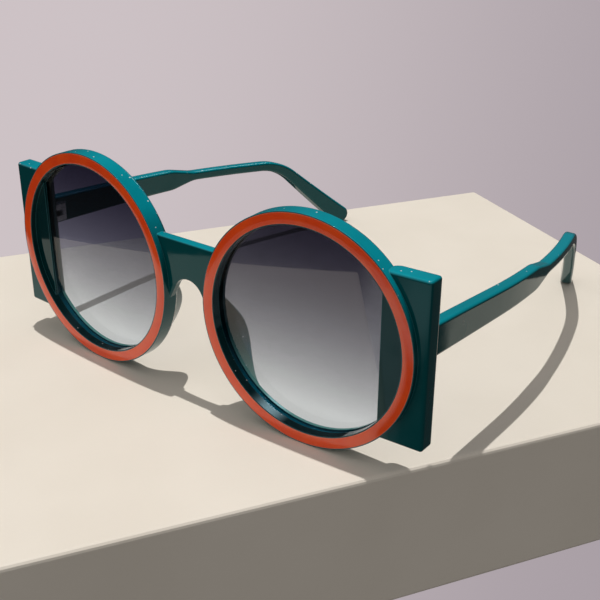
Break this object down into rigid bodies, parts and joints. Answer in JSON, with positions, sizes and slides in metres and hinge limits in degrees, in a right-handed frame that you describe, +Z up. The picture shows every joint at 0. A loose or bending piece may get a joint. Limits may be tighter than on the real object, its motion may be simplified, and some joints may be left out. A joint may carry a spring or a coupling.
{
  "type": "sunglasses",
  "caption": "Oversized sunglasses: round rims with inlaid coloured rings on square side plates, gradient lenses, moulded nose pads and temples that fold on knuckle hinges.",
  "frame": {"origin": "bottom centre of the box round the open glasses, on the surface that the rims and the temple tips stand on", "axes": "+X towards the wearer's left, +Y backwards along the temples, +Z up; the front of the glasses looks along -Y"},
  "size_m": [0.1462, 0.146, 0.0638],
  "materials": {
    "frame_plastic": "polished teal moulding",
    "temple_plastic": "polished teal moulding",
    "inlay_plastic": "smooth burnt orange",
    "lens_tint": "clear grey tint, darker towards the top",
    "hinge_metal": "satin",
    "screw_metal": "bright"
  },
  "bodies": {
    "front": {"front_frame": "frame_plastic", "inlay_ring_left": "inlay_plastic", "inlay_ring_right": "inlay_plastic", "lens_left": "lens_tint", "lens_right": "lens_tint", "hinge_front_leaf_left": "hinge_metal", "hinge_front_leaf_right": "hinge_metal", "hinge_screw_left": "screw_metal", "hinge_screw_right": "screw_metal"},
    "left_temple": {"temple_left": "temple_plastic", "hinge_temple_leaf_left": "hinge_metal"},
    "right_temple": {"temple_right": "temple_plastic", "hinge_temple_leaf_right": "hinge_metal"}
  },
  "joints": [
    {"name": "fold_left", "type": "hinge", "parent": "front", "child": "left_temple", "pos_m": [0.06686, -0.05786, 0.0372], "axis": [0, 0, 1], "range_deg": [0, 82]},
    {"name": "fold_right", "type": "hinge", "parent": "front", "child": "right_temple", "pos_m": [-0.06686, -0.05786, 0.0372], "axis": [0, 0, -1], "range_deg": [0, 72]}
  ]
}
